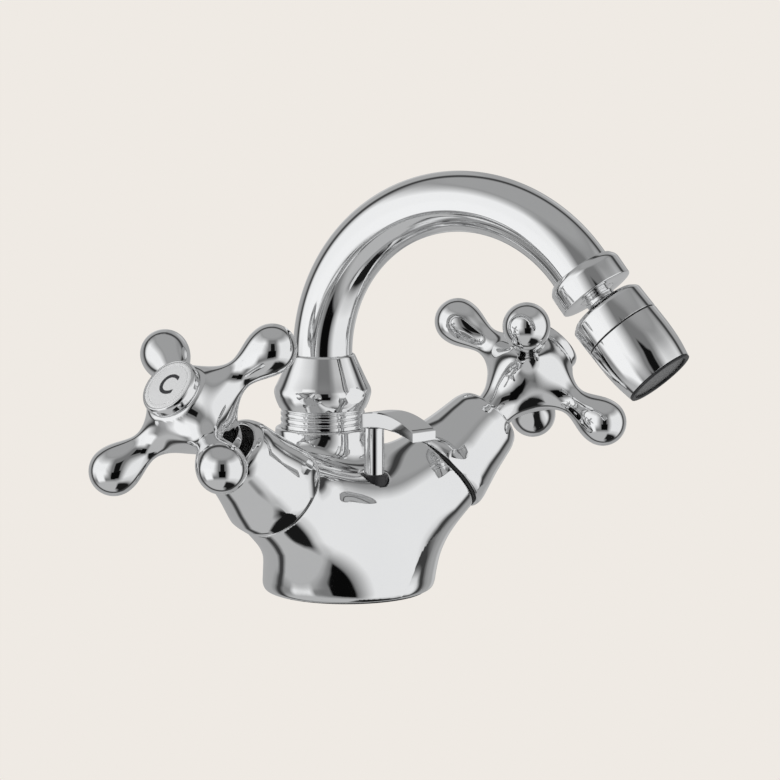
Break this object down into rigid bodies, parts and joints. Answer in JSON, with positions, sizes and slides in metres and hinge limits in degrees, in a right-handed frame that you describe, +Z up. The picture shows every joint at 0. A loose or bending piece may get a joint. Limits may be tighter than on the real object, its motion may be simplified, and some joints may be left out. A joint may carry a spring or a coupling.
{
  "type": "bidet mixer tap",
  "caption": "Chromed deck-mounted mixer tap with a swan-neck spout, swivelling ball-joint nozzle, cross handles and a waste lift rod.",
  "frame": {"origin": "middle of the round base, on the plane of the deck it stands on", "axes": "+Z up along the tower, -Y towards the user, +X towards the right handle as the user sees it"},
  "size_m": [0.1778, 0.1268, 0.128],
  "materials": {
    "chrome": "mirror polished chrome plate",
    "brass": "machined",
    "steel": "turned",
    "black_rubber": "matt",
    "black_plastic": "matt",
    "white_plastic": "smooth",
    "index_white": "satin enamel",
    "screen_grey": "fine mesh",
    "ceramic": "lapped"
  },
  "bodies": {
    "mixer": {"mixer_body": "chrome", "base_gasket": "black_rubber", "spout_nipple": "chrome", "spout_nut": "chrome", "glide_ring": "white_plastic", "rod_guide": "white_plastic", "left_bonnet": "chrome", "left_cover_seal": "black_rubber", "left_headwork_body": "brass", "left_seat_seal": "black_rubber", "left_fixed_disc": "ceramic", "right_bonnet": "chrome", "right_cover_seal": "black_rubber", "right_headwork_body": "brass", "right_seat_seal": "black_rubber", "right_fixed_disc": "ceramic"},
    "left_handle": {"left_cross_handle": "chrome", "left_cap_ring": "chrome", "left_index_disc": "index_white", "left_handle_screw": "steel", "left_spindle": "brass", "left_spindle_seals": "black_rubber", "left_circlip": "steel", "left_moving_disc": "ceramic"},
    "right_handle": {"right_cross_handle": "chrome", "right_cap_ring": "chrome", "right_index_disc": "index_white", "right_handle_screw": "steel", "right_spindle": "brass", "right_spindle_seals": "black_rubber", "right_circlip": "steel", "right_moving_disc": "ceramic"},
    "spout": {"spout_tube": "chrome", "spout_spigot": "brass", "spout_seals": "black_rubber", "outlet_collar": "chrome", "ball_stem": "chrome", "stem_washer": "white_plastic"},
    "upper_race": {"upper_ball_race": "white_plastic"},
    "lower_race": {"lower_ball_race": "white_plastic"},
    "nozzle": {"nozzle_ring": "chrome", "ball_retainer": "brass", "nozzle_shell": "chrome", "aerator_gasket": "black_rubber", "aerator_body": "white_plastic", "aerator_screen": "screen_grey", "outlet_ring": "black_plastic"},
    "pop_up": {"lift_rod": "chrome", "lift_tab": "chrome"}
  },
  "joints": [
    {"name": "left_handle_turn", "type": "hinge", "parent": "mixer", "child": "left_handle", "pos_m": [0, -0.0018, 0.0064], "axis": [-0.757, -0.0941, 0.6466], "range_deg": [0, 90]},
    {"name": "right_handle_turn", "type": "hinge", "parent": "mixer", "child": "right_handle", "pos_m": [0, -0.0018, 0.0064], "axis": [0.757, -0.0941, 0.6466], "range_deg": [-90, 0]},
    {"name": "spout_swivel", "type": "hinge", "parent": "mixer", "child": "spout", "pos_m": [0, 0.0118, 0], "axis": [0, 0, 1], "range_deg": [-60, 16]},
    {"name": "nozzle_nod", "type": "hinge", "parent": "spout", "child": "upper_race", "pos_m": [0.03614, -0.07902, 0.08594], "axis": [0.9291, 0.3697, 0], "range_deg": [-11, 19]},
    {"name": "nozzle_swing", "type": "hinge", "parent": "upper_race", "child": "lower_race", "pos_m": [0.03614, -0.07902, 0.08594], "axis": [-0.2726, 0.685, -0.6756], "range_deg": [-12, 12]},
    {"name": "nozzle_spin", "type": "hinge", "parent": "lower_race", "child": "nozzle", "pos_m": [0.03614, -0.07902, 0.08594], "axis": [0.2498, -0.6277, -0.7373], "continuous": true},
    {"name": "rod_lift", "type": "slide", "parent": "mixer", "child": "pop_up", "axis": [0, 0, 1], "range_m": [0, 0.03]}
  ]
}
